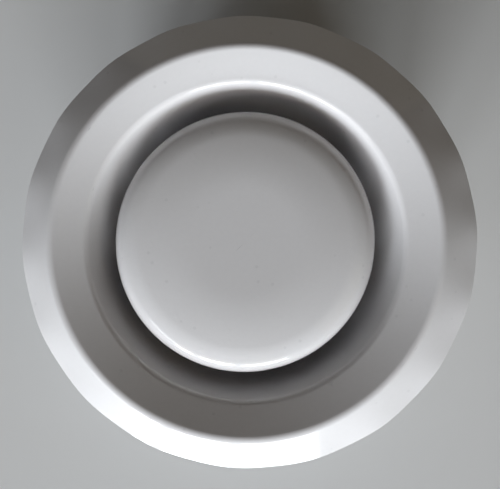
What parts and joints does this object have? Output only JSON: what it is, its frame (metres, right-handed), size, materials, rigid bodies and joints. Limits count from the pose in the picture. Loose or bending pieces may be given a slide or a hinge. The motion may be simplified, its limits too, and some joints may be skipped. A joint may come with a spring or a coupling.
{
  "type": "ceiling air diffuser",
  "caption": "Round disc air valve: conical flanged face ring, throat with a bridge, adjustable domed disc on a threaded spindle, and a bayonet mounting collar with a duct seal.",
  "frame": {"origin": "on the valve's axis, in the ceiling plane, which is the underside of the collar's flange and the circle of its screw holes", "axes": "+Z along the axis into the room, away from the duct; +X along the bridge strip, through the first bayonet stud"},
  "size_m": [0.14, 0.14, 0.0565],
  "materials": {
    "powder_white": "semi-gloss white powder coat with a fine orange peel",
    "galvanised_sheet": "dull galvanised steel sheet",
    "zinc_hardware": "bright zinc-plated steel",
    "rivet_steel": "plain steel",
    "spring_steel": "dark spring steel",
    "seal_rubber": "matte black EPDM",
    "gasket_foam": "fine closed-cell grey foam"
  },
  "bodies": {
    "collar": {"mounting_collar": "galvanised_sheet", "duct_seal": "seal_rubber"},
    "valve": {"valve_body": "powder_white", "face_gasket": "gasket_foam", "bayonet_stud_1": "powder_white", "bayonet_stud_2": "powder_white", "bayonet_stud_3": "powder_white", "bridge": "galvanised_sheet", "bridge_rivet_1": "rivet_steel", "bridge_rivet_2": "rivet_steel", "bridge_rivet_3": "rivet_steel", "bridge_rivet_4": "rivet_steel", "bridge_nut": "zinc_hardware", "spring_washer": "spring_steel"},
    "loose_washer": {"stop_washer": "zinc_hardware"},
    "disc": {"disc_plate": "powder_white", "hub_plate": "galvanised_sheet", "spindle": "zinc_hardware", "hub_washer": "zinc_hardware", "hub_nut": "zinc_hardware"},
    "nut": {"lock_nut": "zinc_hardware"}
  },
  "joints": [
    {"name": "bayonet_twist", "type": "hinge", "parent": "collar", "child": "valve", "pos_m": [0, 0, 0], "axis": [0, 0, 1], "range_deg": [0, 24]},
    {"name": "disc_travel", "type": "slide", "parent": "valve", "child": "loose_washer", "axis": [0, 0, 1], "range_m": [-0.01201, 0.00901]},
    {"name": "disc_turn", "type": "hinge", "parent": "loose_washer", "child": "disc", "pos_m": [0, 0, 0], "axis": [0, 0, 1], "range_deg": [-4320, 3240]},
    {"name": "lock_nut_turn", "type": "hinge", "parent": "valve", "child": "nut", "pos_m": [0, 0, 0], "axis": [0, 0, 1], "range_deg": [0, 90]}
  ],
  "couplings": [
    {"joint": "disc_travel", "follows": "disc_turn", "m_per_rad": 0.00015915}
  ]
}
